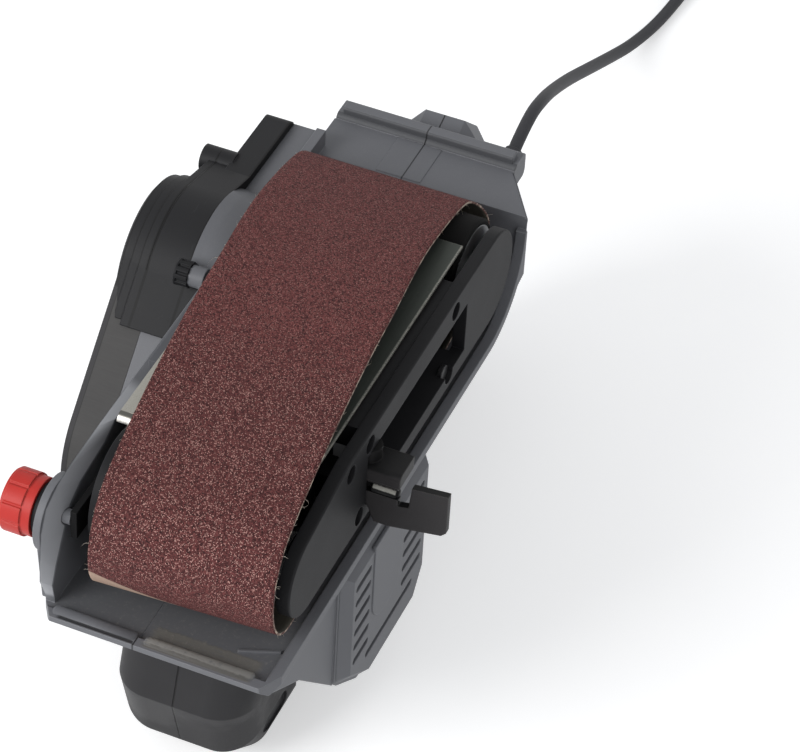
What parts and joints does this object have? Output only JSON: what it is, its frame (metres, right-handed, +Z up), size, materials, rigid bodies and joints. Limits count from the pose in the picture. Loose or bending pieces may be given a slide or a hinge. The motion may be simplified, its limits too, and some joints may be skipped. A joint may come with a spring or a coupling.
{
  "type": "corded belt sander",
  "caption": "Hand held belt sander lying on its back with the tension lever open and the slack sanding belt drawn aside, with rear and front handles and a tracking knob.",
  "frame": {"origin": "floor under the middle of the machine's own box, cord left out", "axes": "+X to the tool's front, +Y to its right, +Z up out of the belt side as it lies on its back"},
  "size_m": [0.7164, 0.1958, 0.1845],
  "materials": {
    "grey_plastic": "satin moulded",
    "black_plastic": "satin moulded",
    "soft_grip": "matt overmould",
    "cover_plastic": "fine brushed moulding",
    "red_plastic": "satin moulded",
    "abrasive": "coated grit",
    "platen_steel": "worn",
    "steel": "turned",
    "dark_steel": "blackened",
    "aluminium": "die cast",
    "rubber": "matt",
    "copper": "lacquered wire",
    "cord_rubber": "matt",
    "cork": "pressed cork"
  },
  "bodies": {
    "machine": {"housing_left": "grey_plastic", "housing_right": "grey_plastic", "motor_end_cap": "grey_plastic", "front_handle_left": "soft_grip", "front_handle_right": "soft_grip", "drive_case": "black_plastic", "drive_cover": "cover_plastic", "roller_frame": "black_plastic", "platen": "platen_steel", "platen_cushion": "cork", "frame_screws": "dark_steel", "stud_cap": "black_plastic", "knob_collar": "black_plastic", "drive_roller_bearings": "steel", "motor_bearings": "steel", "counter_bearing": "steel", "field_core": "dark_steel", "field_coils": "copper", "brush_holders": "copper", "carbon_brushes": "dark_steel", "front_drive_belt": "rubber", "rear_drive_belt": "rubber", "switch_body": "black_plastic", "lever_pin": "steel", "tension_spring": "steel", "cord_gland": "cord_rubber", "cord": "cord_rubber", "cord_coil": "cord_rubber", "cord_tie": "black_plastic", "plug_body": "cord_rubber", "plug_pins": "steel"},
    "drive_roller": {"drive_roller": "aluminium", "roller_tyre": "rubber", "roller_pulley": "black_plastic"},
    "countershaft": {"counter_shaft": "steel", "counter_pulleys": "black_plastic"},
    "armature": {"motor_shaft": "steel", "armature_core": "dark_steel", "armature_windings": "copper", "commutator": "copper", "motor_fan": "black_plastic", "motor_pulley": "steel"},
    "carriage": {"tension_carriage": "dark_steel"},
    "yoke": {"roller_yoke": "dark_steel", "yoke_pin": "steel", "front_axle": "steel"},
    "front_roller": {"front_roller": "black_plastic", "front_bushes": "copper"},
    "lever": {"tension_lever": "dark_steel"},
    "tracking": {"tracking_knob": "red_plastic", "tracking_screw": "steel"},
    "trigger": {"trigger": "black_plastic"},
    "lock_button": {"lock_button": "black_plastic"},
    "sanding_belt": {"sanding_belt": "abrasive"}
  },
  "joints": [
    {"name": "drive_roller_spin", "type": "hinge", "parent": "machine", "child": "drive_roller", "pos_m": [-0.04274, 0.0045, 0.1432], "axis": [0, 1, 0], "continuous": true},
    {"name": "countershaft_spin", "type": "hinge", "parent": "machine", "child": "countershaft", "pos_m": [-0.01114, -0.0655, 0.1298], "axis": [0, 1, 0], "continuous": true},
    {"name": "armature_spin", "type": "hinge", "parent": "machine", "child": "armature", "pos_m": [0.06001, 0.0045, 0.063], "axis": [0, 1, 0], "continuous": true},
    {"name": "lever_swing", "type": "hinge", "parent": "machine", "child": "lever", "pos_m": [0.07744, 0.0505, 0.1432], "axis": [0, 0, 1], "range_deg": [0, 90]},
    {"name": "carriage_slide", "type": "slide", "parent": "machine", "child": "carriage", "axis": [1, 0, 0], "range_m": [0, 0.005]},
    {"name": "yoke_tilt", "type": "hinge", "parent": "carriage", "child": "yoke", "pos_m": [0.09194, 0.0045, 0.1432], "axis": [0, 0, 1], "range_deg": [-0.8, 0.8]},
    {"name": "front_roller_spin", "type": "hinge", "parent": "yoke", "child": "front_roller", "pos_m": [0.13024, 0.0045, 0.1432], "axis": [0, 1, 0], "continuous": true},
    {"name": "tracking_knob_turn", "type": "hinge", "parent": "machine", "child": "tracking", "pos_m": [0.15224, -0.0555, 0.1416], "axis": [0, 1, 0], "range_deg": [-360, 360]},
    {"name": "trigger_press", "type": "slide", "parent": "machine", "child": "trigger", "axis": [0, 0, -1], "range_m": [0, 0.005], "stiffness_N_per_m": 1000, "springref_m": -0.003},
    {"name": "lock_button_press", "type": "slide", "parent": "machine", "child": "lock_button", "axis": [0, 1, 0], "range_m": [0, 0.003], "stiffness_N_per_m": 600, "springref_m": -0.002},
    {"name": "sanding_belt_slide", "type": "slide", "parent": "machine", "child": "sanding_belt", "axis": [0, 1, 0], "range_m": [0, 0.095]}
  ],
  "couplings": [
    {"joint": "countershaft_spin", "follows": "drive_roller_spin", "ratio": 1.4},
    {"joint": "armature_spin", "follows": "drive_roller_spin", "ratio": 4.9778},
    {"joint": "front_roller_spin", "follows": "drive_roller_spin", "ratio": 1},
    {"joint": "lever_swing", "follows": "carriage_slide", "rad_per_m": 314.13},
    {"joint": "yoke_tilt", "follows": "tracking_knob_turn", "ratio": 0.002222}
  ]
}
